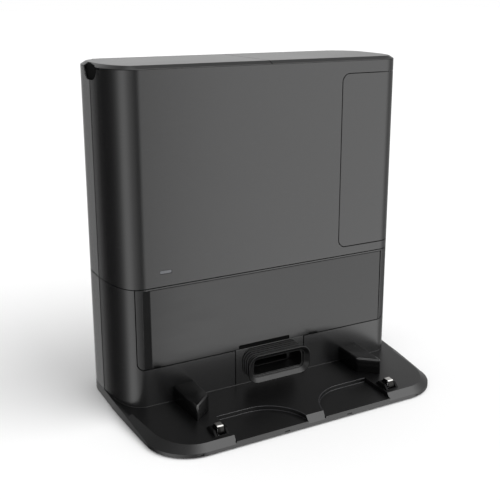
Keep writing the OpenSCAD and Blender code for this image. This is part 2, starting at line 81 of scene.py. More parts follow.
def span(node):
    """The box of a CAD node in millimetres."""
    low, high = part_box(node)
    return Span(*(corner[i] / MM for i in range(3) for corner in (low, high)))


LOWER, UPPER, TRAY = span("lower_front_shell"), span("upper_front_shell"), span("base_tray")
HALF, BACK, TOP = (reach / MM for reach in CAD_HIGH)
LIP = CAD_LOW.y / MM
FRONT, PLATEAU = LOWER.y0, LOWER.z0
SEAM_Z = (LOWER.z1 + UPPER.z0) / 2
SEAM_Y = (LOWER.y1 + span("lower_rear_shell").y0) / 2
SHELL_TOP = UPPER.z1
LID_Z = SHELL_TOP + 0.3
HINGE_Y, HINGE_Z = 116.0, TOP - 4.0

# Cutters end here, past the housing's side and top
PAST_SIDE, PAST_TOP = 260, 300

# Finger notches: half their width, how far they reach below the top of the shells, and the
# depth of the block behind them, painted near-black as painted shade in the notch
NOTCH_HALF, NOTCH_DROP = 20, 14.5
NOTCH_BACK_DEPTH = 6.4

# Hinge barrels of the left and the right lid: from and to, along X
BARRELS = {
    -1: ((-170, -146.4), (-133.6, -56.4), (-43.6, -0.4)),
    1: ((0.4, 15.6), (28.4, 71.6), (84.4, 170)),
}

# Notch in the panel over the suction port, and two finger recesses in its lower edge
PORT_NOTCH = (-45, 28)
PANEL_RECESSES = ((-159, -150), (58, 71))

# Base: where the sides start to close in and two lines in front of that; the wells, from the
# middle outwards; the slots of the charging strips and the moulding marks in the front of the rim
SIDE_LINES = (20, -20, -60)
WELL_X, WELL_EDGE, WELL_RADIUS, WELL_FLOOR = 64.7, 106.7, 53, 8.8
CONTACT_X, CONTACT_SLOT = 119, 4.6
RIM_SLOT_X, RIM_MARKS = 151, (-41, 46)


# ---- sizes and colours ------------------------------------------------------


def length(name, description, default):
    """A length that a user can change; its default is in millimetres."""
    return FloatProperty(name=name, description=description, default=default * MM, min=0,
                         unit="LENGTH", subtype="DISTANCE")


def colour(name, description, default):
    return FloatVectorProperty(name=name, description=description, default=default, size=3,
                               min=0, max=1, subtype="COLOR")


def roughness(name, description, default):
    return FloatProperty(name=name, description=description, default=default, min=0, max=1,
                         subtype="FACTOR")


class StationSizes(bpy.types.PropertyGroup):
    """Sizes of the pieces that show"""

    corner_width: length("Front corner width", "Front corner, measured along the front", 35)
    corner_depth: length("Front corner depth", "Front corner, measured along the side", 93)
    rear_radius: length("Rear corner radius", "Radius of the rear corners of the housing", 42)
    wall: length("Wall", "Thickness of the housing shells", 2.5)
    joint_gap: length("Parting line", "Width of the gap between two housing pieces", 1.0)
    edge: length("Edge radius", "Rounding of the moulded edges", 0.45)
    lid_bevel: length("Lid bevel", "How far the bevel of the lids runs in", 6)
    door_radius: length("Dust door corner", "Corner radius of the dust bin front", 10)
    corner_steps: IntProperty(
        name="Corner steps", description="Facets round one housing corner", default=24, min=4)


class StationFinish(bpy.types.PropertyGroup):
    """Colours and gloss of the materials"""

    housing: colour("Housing", "Colour of the moulded housing", (0.0085, 0.0085, 0.0087))
    housing_roughness: roughness("Housing roughness", "Roughness of the moulded housing", 0.25)
    base: colour("Base", "Colour of the base moulding", (0.0018, 0.0018, 0.0019))
    base_roughness: roughness("Base roughness", "Roughness of the base moulding", 0.36)
    panel_roughness: roughness("Panel roughness", "Roughness of the glossy front panel", 0.12)


class StationStudio(bpy.types.PropertyGroup):
    """Camera and light"""

    lens: FloatProperty(
        name="Lens", description="Focal length of the camera in millimetres", default=58.78, min=1)
    sky: FloatProperty(
        name="Soft light", description="Strength of the even light from all round",
        default=0.74, min=0)
    key: FloatProperty(
        name="Key light", description="Strength of the broad light from the right", default=2.15, min=0)


def sizes():
    return bpy.context.scene.station_sizes


def finish_of():
    return bpy.context.scene.station_finish


# ---- bench work: shaping with the modelling operators -------------------------


def put_down():
    """Leaves edit mode with nothing selected."""
    if bpy.context.object is not None and bpy.context.object.mode != "OBJECT":
        bpy.ops.object.mode_set(mode="OBJECT")
    bpy.ops.object.select_all(action="DESELECT")


def take(*pieces):
    """Selects these pieces alone, the first one active."""
    put_down()
    for piece in pieces:
        piece.select_set(True)
    bpy.context.view_layer.objects.active = pieces[0]


def name_new(name):
    """Names the piece that was just added and puts its place into its mesh."""
    piece = bpy.context.object
    piece.name = name
    piece.data.name = name
    bpy.ops.object.transform_apply(location=True, rotation=True, scale=True)
    return piece


def open_up(piece):
    """Goes into edit mode with all of the piece selected."""
    take(piece)
    bpy.ops.object.mode_set(mode="EDIT")
    bpy.ops.mesh.select_all(action="SELECT")


def flank(side, inner, outer):
    """A stretch along X on one side of the station, its lower end first."""
    return sorted((side * inner, side * outer))


def block(name, x0, x1, y0, y1, z0, z1):
    """A block between two corners, in millimetres."""
    put_down()
    bpy.ops.mesh.primitive_cube_add(
        size=MM, location=((x0 + x1) * MM / 2, (y0 + y1) * MM / 2, (z0 + z1) * MM / 2),
        scale=(x1 - x0, y1 - y0, z1 - z0))
    return name_new(name)


def rod(name, centre, radius, length, axis=2, sides=40):
    """A round bar along an axis, in millimetres."""
    turn = ((0, math.pi / 2, 0), (math.pi / 2, 0, 0), (0, 0, 0))[axis]
    put_down()
    bpy.ops.mesh.primitive_cylinder_add(
        vertices=sides, radius=radius * MM, depth=length * MM, rotation=turn,
        location=[c * MM for c in centre])
    return name_new(name)


def middle(part):
    """The middle of a corner, an edge or a face, in millimetres."""
    corners = [part] if isinstance(part, bmesh.types.BMVert) else part.verts
    return sum((c.co for c in corners), Vector()) / len(corners) / MM


def along(edge, axis):
    run = edge.verts[1].co - edge.verts[0].co
    return abs(run[axis]) > 0.99 * run.length


def pick(piece, kind, test):
    """Goes into edit mode and selects the corners, edges or faces that pass the test."""
    take(piece)
    bpy.ops.object.mode_set(mode="EDIT")
    bpy.ops.mesh.select_mode(type=kind)
    bpy.ops.mesh.select_all(action="DESELECT")
    form = bmesh.from_edit_mesh(piece.data)
    parts = {"VERT": form.verts, "EDGE": form.edges, "FACE": form.faces}[kind]
    found = [part for part in parts if test(part)]
    for part in found:
        part.select_set(True)
    bmesh.update_edit_mesh(piece.data)
    if not found:
        raise ValueError(f"nothing on {piece.name} is where it should be")


def round_off(piece, test, radius, steps=8, profile=0.5):
    """Rounds the edges that pass the test, to a radius in millimetres."""
    pick(piece, "EDGE", test)
    bpy.ops.mesh.bevel(offset=radius * MM, segments=steps, profile=profile, affect="EDGES")
    put_down()


def slide(piece, test, move, kind=lambda v: True):
    """Moves each corner whose place passes the test by move(place), all in millimetres."""
    pick(piece, "VERT", lambda v: test(v.co / MM) and kind(v))
    form = bmesh.from_edit_mesh(piece.data)
    spots = [(v.index, Vector(move(v.co / MM)) * MM) for v in form.verts if v.select]
    for index, step in spots:
        bpy.ops.mesh.select_all(action="DESELECT")
        form = bmesh.from_edit_mesh(piece.data)
        form.verts.ensure_lookup_table()
        form.verts[index].select_set(True)
        bpy.ops.transform.translate(value=step)
    put_down()


def trim(piece, point, normal, closed=False):
    """Cuts the piece at a plane and drops the side that the normal points to."""
    open_up(piece)
    bpy.ops.mesh.bisect(
        plane_co=[c * MM for c in point], plane_no=normal, use_fill=closed, clear_outer=True)
    put_down()


def apply(piece, kind, **settings):
    """Adds a modifier, sets it and applies it."""
    take(piece)
    tool = piece.modifiers.new(kind.title(), kind)
    for key, value in settings.items():
        setattr(tool, key, value)
    bpy.ops.object.modifier_apply(modifier=tool.name)


def thicken(piece, wall):
    apply(piece, "SOLIDIFY", thickness=wall * MM, offset=-1, use_even_offset=True)


def combine(piece, tool, operation="DIFFERENCE"):
    """Cuts, joins or keeps what is common with a second piece, which is used up."""
    apply(piece, "BOOLEAN", object=tool, operation=operation, solver="EXACT")
    bpy.data.objects.remove(tool)


def join(piece, *others):
    take(piece, *others)
    bpy.ops.object.join()
    return piece


def smooth(piece, edge=None, steps=2, angle=28):
    """Rounds the sharp edges a little and gives the piece its final shading."""
    open_up(piece)
    bpy.ops.mesh.remove_doubles(threshold=1e-6)
    put_down()
    width = sizes().edge if edge is None else edge * MM
    if width > 0:
        apply(piece, "BEVEL", width=width, segments=steps, limit_method="ANGLE",
              angle_limit=math.radians(angle), use_clamp_overlap=True)
    take(piece)
    bpy.ops.object.shade_smooth()
    apply(piece, "WEIGHTED_NORMAL", weight=50, keep_sharp=False)


def mount(piece, body, paint, *nodes, slot=None):
    """Gives the piece its material, its moving body and the CAD nodes it stands for."""
    piece.data.materials.clear()
    piece.data.materials.append(paint)
    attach(piece, body)
    if nodes:
        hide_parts(*nodes)


def mount_housing(piece, node, body="station", edge=None):
    """Smooths a piece of the moulded housing and mounts it."""
    smooth(piece, edge)
    mount(piece, body, PAINTS["housing"], node, slot="black_housing")


def mirrored(piece, name):
    """A copy on the other side of the station, with its own mesh."""
    take(piece)
    bpy.ops.object.duplicate()
    twin = bpy.context.object
    twin.name = name
    twin.data.name = name
    open_up(twin)
    bpy.ops.transform.resize(value=(-1, 1, 1), center_override=(0, 0, 0))
    bpy.ops.mesh.flip_normals()
    put_down()
    return twin


def body_form(name, z0, z1, inset=0.0, depth=None):
    """A block with the plan of the housing: long soft front corners and round rear corners."""
    s = sizes()
    width, depth = s.corner_width / MM - inset, (depth or s.corner_depth / MM) - inset
    y0, y1 = FRONT + inset, BACK - inset
    piece = block(name, inset - HALF, HALF - inset, y0, y1, z0, z1)
    round_off(piece, lambda e: along(e, 2) and middle(e).y < 0, width, s.corner_steps, 0.587)
    round_off(piece, lambda e: along(e, 2) and middle(e).y > y1 - 0.1, s.rear_radius / MM - inset, 16)
    pick(piece, "VERT", lambda v: v.co.y / MM < y0 + width + 0.01)
    bpy.ops.transform.resize(value=(1, depth / width, 1), center_override=(0, y0 * MM, 0))
    put_down()
    return piece


def open_wall(piece):
    """Takes the top and bottom off a block, so that its side wall is left."""
    pick(piece, "FACE", lambda f: abs(f.normal.z) > 0.9)
    bpy.ops.mesh.delete(type="FACE")
    put_down()
    return piece


def housing_wall(name, z0, z1, front):
    """The front or the rear half of the housing wall."""
    piece = open_wall(body_form(name, z0, z1, depth=None if front else SEAM_Y - FRONT))
    ahead = 1 if front else -1
    trim(piece, (0, SEAM_Y - ahead * sizes().joint_gap / MM / 2, 0), (0, ahead, 0))
    thicken(piece, sizes().wall / MM)
    return piece


def window(x0, x1, z0, z1, radius, test=lambda p: True, y0=-60, y1=60):
    """A cutter along Y; its corners that pass the test are round."""
    tool = block("cutter", x0, x1, y0, y1, z0, z1)
    round_off(tool, lambda e: along(e, 1) and test(middle(e)), radius)
    return tool


def opening_for(box, gap, radius, y0=-60, y1=60):
    """A cutter along Y that leaves a gap round a box."""
    return window(box.x0 - gap, box.x1 + gap, box.z0 - gap, box.z1 + gap, radius, y0=y0, y1=y1)


# ---- materials: sums on sockets ------------------------------------------------


class Wire:
    """The output of a node. Sums with it add the nodes that work them out."""

    def __init__(self, paint, socket):
        self.paint, self.socket = paint, socket

    def __add__(self, other):
        return self.paint.sum("ADD", self, other)

    def __sub__(self, other):
        return self.paint.sum("SUBTRACT", self, other)

    def __rsub__(self, other):
        return self.paint.sum("SUBTRACT", other, self)

    def __mul__(self, other):
        return self.paint.sum("MULTIPLY", self, other)

    def __truediv__(self, other):
        return self.paint.sum("DIVIDE", self, other)

    __radd__ = __add__
    __rmul__ = __mul__


class Paint:
    """The nodes of one material, or of the studio."""

    def __init__(self, owner):
        owner.use_nodes = True
        self.owner, self.tree = owner, owner.node_tree
        self.tree.nodes.clear()

    def node(self, kind, settings=None, values=None, out=0):
        """Adds a node: its settings first, then the values or links of its sockets."""
        node = self.tree.nodes.new(kind)
        for key, value in (settings or {}).items():
            if key == "stops":
                spots = node.color_ramp.elements
                for i, (place, shade) in enumerate(value):
                    spot = spots[i] if i < 2 else spots.new(place)
                    spot.position, spot.color = place, (shade, shade, shade, 1)
            elif key == "interpolation":
                node.color_ramp.interpolation = value
            else:
                setattr(node, key, value)
        for key, value in (values or {}).items():
            if isinstance(value, Wire):
                self.tree.links.new(value.socket, node.inputs[key])
            else:
                node.inputs[key].default_value = value
        return Wire(self, node.outputs[out]) if len(node.outputs) else node

    def sum(self, operation, a, b=0.0):
        return self.node("ShaderNodeMath", {"operation": operation}, {0: a, 1: b})

    def place(self):
        return self.node("ShaderNodeTexCoord", out="Object")

    def noise(self, scale, detail=2.0, rough=0.5, where=None):
        return self.node("ShaderNodeTexNoise", {}, {
            "Vector": where or self.place(), "Scale": scale, "Detail": detail, "Roughness": rough})

    def ramp(self, value, *stops, interpolation="LINEAR"):
        settings = {"stops": stops, "interpolation": interpolation}
        return self.node("ShaderNodeValToRGB", settings, {"Fac": value})

    def mix(self, share, a, b):
        """A mix of two colours."""
        a, b = (side if isinstance(side, Wire) else (*side, 1) for side in (a, b))
        return self.node("ShaderNodeMix", {"data_type": "RGBA"}, {0: share, 6: a, 7: b}, out=2)

    def laid(self, place, **values):
        """The place, turned or stretched."""
        return self.node("ShaderNodeMapping", {}, {"Vector": place, **values})

    def bump(self, height, strength, depth):
        return self.node("ShaderNodeBump", {}, {
            "Height": height, "Strength": strength, "Distance": depth * MM})

    def surface(self, **values):
        shader = self.node("ShaderNodeBsdfPrincipled", {}, {
            k.replace("_", " "): v for k, v in values.items()})
        self.node("ShaderNodeOutputMaterial", {}, {"Surface": shader})
        return self.owner


def new_paint(name):
    """An empty material, and the place on the object that its patterns follow."""
    paint = Paint(bpy.data.materials.new(name))
    return paint, paint.place()


def tint(colour, strength):
    return tuple(c * strength for c in colour)


def moulded(name, colour, rough, grain=0.10, worn=0.05, level=0.5):
    """Moulded plastic: a fine spark-eroded grain, a faint cloud in the gloss and a few hairline rubs."""
    paint, place = new_paint(name)
    fine = paint.noise(2400, 2, 0.6, place)
    cloud = paint.noise(11, 3, 0.5, place)
    rubs = paint.noise(90, 5, 0.7, paint.laid(place, Scale=(1, 1, 14)))
    rubbed = paint.ramp(rubs, (0.60, 0), (0.74, 1))
    tone = paint.mix(cloud, tint(colour, 0.86), tint(colour, 1.18))
    return paint.surface(
        Base_Color=paint.mix(rubbed * 0.12, tone, tint(colour, 1.7)),
        Roughness=rough + (cloud - 0.5) * 0.05 + (fine - 0.5) * 0.04 + rubbed * worn,
        Specular_IOR_Level=level, Normal=paint.bump(fine, grain, 0.12))


def glossy_panel(name, colour, rough):
    """High-gloss plastic with faint diagonal wipe marks in its gloss; the same diagonal streaks lighten
    its colour as a painted reflection.
    """
    paint, place = new_paint(name)
    diagonal_noise = paint.noise(13, 4, 0.55, paint.laid(place, Rotation=(0, 0.42, 0), Scale=(1, 1, 6)))
    dust = paint.ramp(paint.noise(700, 2, 0.5, place), (0.72, 0), (0.80, 1))
    wave = paint.noise(22, 1, 0.5, place)
    # Diagonal streaks: in the colour they are a painted reflection, lighter streaks across the gloss; in
    # the roughness they are wipe marks.
    wipes_and_painted_sheen = paint.ramp(diagonal_noise, (0.35, 0), (0.68, 1))
    return paint.surface(
        Base_Color=paint.mix(dust * 0.35 + wipes_and_painted_sheen * 0.25, colour, tint(colour, 2.2)),
        Roughness=rough + wipes_and_painted_sheen * 0.06 + dust * 0.2, Specular_IOR_Level=0.38,
        Normal=paint.bump(wave, 0.10, 0.25))


def rubber(name, colour, rough=0.62, level=0.5):
    """Matt rubber with a dusty bloom."""
    paint, place = new_paint(name)
    bloom = paint.noise(120, 4, 0.6, place)
    fine = paint.noise(1800, 2, 0.5, place)
    return paint.surface(
        Base_Color=paint.mix(bloom, tint(colour, 0.8), tint(colour, 1.5)),
        Roughness=rough + (bloom - 0.5) * 0.16,
        Specular_IOR_Level=level, Normal=paint.bump(fine, 0.2, 0.15))


def metal(name, colour, rough):
    """Drawn or ground metal with fine lines along one way and a few darker spots."""
    paint, place = new_paint(name)
    lines = paint.noise(260, 3, 0.6, paint.laid(place, Scale=(1, 1, 30)))
    spots = paint.noise(340, 3, 0.5, place)
    return paint.surface(
        Base_Color=paint.mix(spots, tint(colour, 0.72), tint(colour, 1.0)), Metallic=1.0,
        Roughness=rough + (lines - 0.5) * 0.18, Normal=paint.bump(lines, 0.08, 0.05))


def strip_metal(name, colour):
    """Plated strip, smoother on its top where the robot rubs it; below the top its colour is painted
    nearly black, a painted shade.
    """
    paint, place = new_paint(name)
    height = paint.node("ShaderNodeSeparateXYZ", {}, {0: place}, out=2)
    # rubbed: the top band of the strip. Below it the colour is painted nearly black as painted shade; on
    # the band the strip is also smoother, where the robot rubs it.
    rubbed = paint.ramp(height * 25, (0.555, 0), (0.582, 1))
    lines = paint.noise(420, 3, 0.6, paint.laid(place, Scale=(8, 1, 1)))
    return paint.surface(
        Base_Color=paint.mix(rubbed, tint(colour, 0.035), colour), Metallic=1.0,
        Roughness=0.36 - rubbed * 0.12 + (lines - 0.5) * 0.1, Normal=paint.bump(lines, 0.08, 0.05))


def smoked(name, colour, rough=0.16):
    """Smoked clear plastic, seen dark, with water marks and moulding flow lines."""
    paint, place = new_paint(name)
    flow = paint.noise(18, 4, 0.6, paint.laid(place, Scale=(1, 1, 0.25)))
    marks = paint.ramp(paint.noise(75, 5, 0.7, place), (0.55, 0), (0.66, 1))
    return paint.surface(
        Base_Color=paint.mix(flow, tint(colour, 0.7), tint(colour, 1.4)),
        Roughness=rough + marks * 0.14, Normal=paint.bump(flow, 0.06, 0.3))


def board(name):
    """Circuit board: green lacquer over copper tracks and pads."""
    paint, place = new_paint(name)
    tracks = paint.node("ShaderNodeTexBrick", {"offset": 0.37, "squash": 0.6}, {
        "Vector": paint.laid(place, Rotation=(math.pi / 2, 0, 0)),
        "Color1": (0.004, 0.05, 0.018, 1), "Color2": (0.006, 0.07, 0.025, 1),
        "Mortar": (0.03, 0.17, 0.06, 1), "Scale": 160.0, "Mortar Size": 0.03})
    dots = paint.node("ShaderNodeTexVoronoi", {}, {"Vector": place, "Scale": 260.0})
    pads = paint.ramp(dots, (0.12, 1), (0.16, 0))
    return paint.surface(
        Base_Color=paint.mix(pads * 0.8, tracks, (0.5, 0.48, 0.42)),
        Metallic=pads * 0.8, Roughness=0.32 + (paint.noise(300) - 0.5) * 0.1)


def lens_paint(name):
    """Milky light window with a fine haze in its tone."""
    paint, place = new_paint(name)
    haze = paint.noise(900, 2, 0.5, place)
    return paint.surface(
        Base_Color=paint.mix(haze, (0.075, 0.078, 0.085), (0.12, 0.125, 0.135)),
        Roughness=0.3 + haze * 0.1, Normal=paint.bump(haze, 0.05, 0.1))


PAINTS = {}


def mix_paints():
    """Makes every material of the station once."""
    f = finish_of()
    house, base = tuple(f.housing), tuple(f.base)
    PAINTS.update(
        housing=moulded("Moulded housing", house, f.housing_roughness),
        lid=moulded("Moulded lid", tint(house, 1.15), f.housing_roughness + 0.04, 0.14),
        base=moulded("Moulded base", base, f.base_roughness, 0.12, 0.10),
        panel=glossy_panel("Glossy front panel", tint(house, 0.5), f.panel_roughness),
        seal=rubber("Rubber seal", (0.003, 0.003, 0.003), 0.36, 0.32),
        # A lighter paint for the thin rings round the wells: painted highlights on their edges.
        edge=moulded("Painted edge highlight", tint(base, 26), 0.25),
        block=moulded("Guide block", base, 0.24, 0.1, 0.05, 0.8),
        wedge=moulded("Contact wedge", (0.0015, 0.0015, 0.0015), 0.6, 0.1, 0.05, 0.12),
        # Near-black and almost without gloss: painted shade, for the plate in the panel's notch over the
        # port and for the backs of the finger notches.
        grip=rubber("Soft grip", (0.001, 0.001, 0.001), 0.9, 0.1),
        foot=rubber("Rubber foot", (0.012, 0.012, 0.012), 0.75),
        strip=strip_metal("Nickel plated strip", (0.62, 0.61, 0.59)),
        steel=metal("Ground steel", (0.55, 0.55, 0.56), 0.28),
        inside=moulded("Inner moulding", (0.028, 0.028, 0.030), 0.5, 0.2),
        under=moulded("Underside moulding", (0.016, 0.016, 0.017), 0.55, 0.25),
        smoke=smoked("Smoked tank", (0.012, 0.013, 0.015)),
        bin=smoked("Smoked dust bin", (0.016, 0.016, 0.018), 0.22),
        white=moulded("Pleated filter fleece", (0.62, 0.61, 0.56), 0.85, 0.5),
        hose=rubber("Milky hose", (0.42, 0.43, 0.45), 0.35),
        green=board("Circuit board"),
        lens=lens_paint("Light window"))


# ---- the pieces ---------------------------------------------------------------


def finger_notch(side):
    """Cutter for the U-shaped finger notch in a side wall, across the seam."""
    bottom = SHELL_TOP - NOTCH_DROP
    tool = block("cutter", *flank(side, HALF - 12, HALF + 8),
                 SEAM_Y - NOTCH_HALF, SEAM_Y + NOTCH_HALF, bottom, TOP + 30)
    round_off(tool, lambda e: along(e, 0) and middle(e).z < bottom + 1, 15, 10)
    return tool


def lid_gap(side):
    """Cutter for the gap that tapers forward from a finger notch, under the lid."""
    start = 16
    tool = block("cutter", *flank(side, HALF - 9, HALF + 8), start, SEAM_Y,
                 SHELL_TOP - 3.5, SHELL_TOP + 3)
    slide(tool, lambda p: p.y < start + 4 and p.z < SHELL_TOP, lambda p: (0, 0, 3.2))
    return tool


class STATION_OT_lower_shells(bpy.types.Operator):
    """Front and rear shell of the lower housing"""

    bl_idname = "station.lower_shells"
    bl_label = "Lower Shells"

    def execute(self, context):
        gap = sizes().joint_gap / MM
        trim_box, plate = span("panel_trim"), span("port_bezel")
        front = housing_wall("lower_front_housing", PLATEAU, SEAM_Z - gap / 2, True)
        combine(front, window(trim_box.x0 - gap, trim_box.x1 + gap, trim_box.z0 - gap, PAST_TOP, 9,
                              lambda p: p.z < SEAM_Z, y1=SEAM_Y - 40))
        combine(front, window(plate.x0 - gap, plate.x1 + gap, 0, plate.z1 + 3, 1.2,
                              lambda p: p.z > PLATEAU))
        rear = housing_wall("lower_rear_housing", PLATEAU, SEAM_Z - gap / 2, False)
        for node, radius in (("exhaust_grille", 4), ("power_inlet", 2)):
            combine(rear, opening_for(span(node), 0.4, radius, y0=90, y1=140))
        for shell, node in ((front, "lower_front_shell"), (rear, "lower_rear_shell")):
            mount_housing(shell, node)
        return {"FINISHED"}


class STATION_OT_upper_shells(bpy.types.Operator):
    """Front and rear shell of the upper housing, with the finger notches and the rear strip"""

    bl_idname = "station.upper_shells"
    bl_label = "Upper Shells"

    def execute(self, context):
        gap = sizes().joint_gap / MM
        door = span("bin_fascia")
        front = housing_wall("upper_front_housing", SEAM_Z + gap / 2, SHELL_TOP, True)
        combine(front, window(door.x0 - gap, PAST_SIDE, door.z0 - gap, door.z1 + gap,
                              sizes().door_radius / MM + gap, lambda p: p.x < HALF, y1=SEAM_Y + 20))
        combine(front, opening_for(span("status_light"), 0.3, 2.1, y1=0))
        rear = housing_wall("upper_rear_housing", SEAM_Z + gap / 2, SHELL_TOP, False)
        strip = body_form("rear_hinge_strip", SHELL_TOP + 0.05, TOP - 0.2, 0.4)
        trim(strip, (0, HINGE_Y + 4.4, 0), (0, -1, 0), closed=True)
        round_off(strip, lambda e: middle(e).z > TOP - 0.5 and middle(e).y > HINGE_Y + 5, 2.4, 4)
        for side in (-1, 1):
            for shell in (front, rear):
                combine(shell, finger_notch(side))
            combine(front, lid_gap(side))
        for shell, node in (
                (front, "upper_front_shell"), (rear, "upper_rear_shell"), (strip, "hinge_strip")):
            mount_housing(shell, node)
        return {"FINISHED"}


def lid_plate(name, side):
    """A bevelled lid with the skirt under it, cut free for the finger notch."""
    rim = 0.5
    lid = body_form(name + "_plate", LID_Z, LID_Z + rim)
    pick(lid, "FACE", lambda f: f.normal.z > 0.9)
    bpy.ops.mesh.inset(thickness=sizes().lid_bevel, depth=(TOP - LID_Z - rim) * MM)
    skirt = open_wall(body_form("skirt", LID_Z - 9, LID_Z + 0.6, 3.2))
    trim(skirt, (0, HINGE_Y - 12, 0), (0, 1, 0))
    thicken(skirt, 1.8)
    combine(lid, skirt, "UNION")
    trim(lid, (0, HINGE_Y - 0.6, 0), (0, 1, 0), closed=True)
    trim(lid, (side * 0.5, 0, 0), (-side, 0, 0), closed=True)
    recess = block("cutter", *flank(side, HALF - NOTCH_BACK_DEPTH, HALF + 8),
                   SEAM_Y - 34, SEAM_Y + NOTCH_HALF - 1, LID_Z - 12, TOP - 0.5)
    slide(recess, lambda p: p.y < SEAM_Y - NOTCH_HALF and p.x * side < HALF - 3,
          lambda p: (side * 4.6, 0, 0))
    combine(lid, recess)
    smooth(lid, 0.4)
    return lid


def lid_grip(name, side):
    """The block that the fingers meet at the back of the notch, painted near-black as painted shade in
    the notch.
    """
    grip = block(name + "_grip", *flank(side, HALF - NOTCH_BACK_DEPTH, HALF - 2.8),
                 SEAM_Y - NOTCH_HALF + 0.5, SEAM_Y + NOTCH_HALF - 1,
                 SHELL_TOP - NOTCH_DROP - 1.1, TOP - 2)
    slide(grip, lambda p: p.y < SEAM_Y and abs(p.x) > HALF - 4,
          lambda p: (-side * 1.7, 0, 0))
    smooth(grip, 0.3)
    return grip


class STATION_OT_lids(bpy.types.Operator):
    """The two hinged lids over the tanks"""

    bl_idname = "station.lids"
    bl_label = "Lids"

    def execute(self, context):
        for side, name, cover in ((-1, "left_lid", "left_cover"), (1, "right_lid", "right_cover")):
            lid = lid_plate(name, side)
            mount(lid_grip(name, side), cover, PAINTS["grip"])
            for x0, x1 in BARRELS[side]:
                barrel = rod("barrel", ((x0 + x1) / 2, HINGE_Y, HINGE_Z), 3.85, x1 - x0, axis=0)
                smooth(barrel, 0.5)
                join(lid, barrel)
            mount(lid, cover, PAINTS["lid"], name, slot="grey_lid")
        return {"FINISHED"}


class STATION_OT_bin_front(bpy.types.Operator):
    """Front of the dust bin, which follows the housing round the right corner"""

    bl_idname = "station.bin_front"
    bl_label = "Dust Bin Front"

    def execute(self, context):
        b = span("bin_fascia")
        door = open_wall(body_form("dust_bin_front", b.z0, b.z1))
        trim(door, (b.x0, 0, 0), (-1, 0, 0))
        trim(door, (0, b.y1 - 0.2, 0), (0, 1, 0))
        thicken(door, sizes().wall / MM)
        shape = window(b.x0 + 0.01, PAST_SIDE, b.z0 + 0.01, b.z1 - 0.01, sizes().door_radius / MM,
                       lambda p: p.x < HALF, y1=SEAM_Y + 20)
        combine(door, shape, "INTERSECT")
        mount_housing(door, "bin_fascia", "dust_drawer")
        return {"FINISHED"}


class STATION_OT_front_panel(bpy.types.Operator):
    """Removable glossy panel and the trim round it"""

    bl_idname = "station.front_panel"
    bl_label = "Front Panel"

    def execute(self, context):
        gap = sizes().joint_gap / MM
        b, t = span("front_panel"), span("panel_trim")
        surround = open_wall(body_form("panel_trim_frame", t.z0, SEAM_Z - gap / 2 - 0.2, 0.05))
        trim(surround, (0, t.y1, 0), (0, 1, 0))
        thicken(surround, sizes().wall / MM)
        above = 200
        shape = window(t.x0, t.x1, t.z0, above, 8.5, lambda p: p.z < SEAM_Z)
        combine(surround, shape, "INTERSECT")
        combine(surround, window(b.x0 - gap, b.x1 + gap, 20, b.z1 + gap, 0.5, lambda p: p.z > b.z1,
                                 y1=FRONT + 2.2))
        mount_housing(surround, "panel_trim", edge=0.4)

        # The panel's left end turns back a little with the housing
        bend, front, back = b.x0 + 8.5, FRONT + 0.05, FRONT + 2.3
        panel = block("glossy_panel", bend + 0.1, b.x1, front, back, b.z0, b.z1)
        wing = block("wing", b.x0, bend, front, back, b.z0, b.z1)
        slide(wing, lambda p: p.x < b.x0 + 1 and p.y < FRONT + 1, lambda p: (0, 1.5, 0))
        combine(panel, window(*PORT_NOTCH, b.z0 - 20, b.z0 + 5, 1.5, lambda p: p.z > b.z0, y0=-30, y1=10))
        for x0, x1 in PANEL_RECESSES:
            combine(panel, window(x0, x1, b.z0 - 10, b.z0 + 2.4, 0.6, lambda p: p.z > b.z0,
                                  y0=-30, y1=FRONT + 0.9))
        slide(panel, lambda p: p.z > b.z1 - 0.1, lambda p: (0, 0.8, 0))
        slide(wing, lambda p: p.z > b.z1 - 0.1 and p.x > bend - 1, lambda p: (0, 0.8, 0))
        smooth(panel, 0.35)
        smooth(wing, 0.2)
        join(panel, wing)
        mount(panel, "panel", PAINTS["panel"], "front_panel", slot="gloss_black")
        return {"FINISHED"}


def port_ring(name, half_width, half_height, radius, y0, y1):
    """A block with round corners along Y, round the middle of the suction port."""
    lip = span("port_lip")
    z = (lip.z0 + lip.z1) / 2
    ring = block(name, -half_width, half_width, y0, y1, z - half_height, z + half_height)
    round_off(ring, lambda e: along(e, 1), radius, 10)
    return ring


def push(depth):
    """Pulls the selected face out backwards, in millimetres."""
    bpy.ops.mesh.extrude_region_move(TRANSFORM_OT_translate={"value": (0, depth * MM, 0)})


def step_in(width, depth=0.0):
    """Insets the selected face, in millimetres."""
    bpy.ops.mesh.inset(thickness=width * MM, depth=depth * MM)


def bridge_rims(piece):
    """Joins the open rims of a ring, so that it is a closed solid."""
    pick(piece, "EDGE", lambda e: e.is_boundary)
    bpy.ops.mesh.bridge_edge_loops()
    put_down()


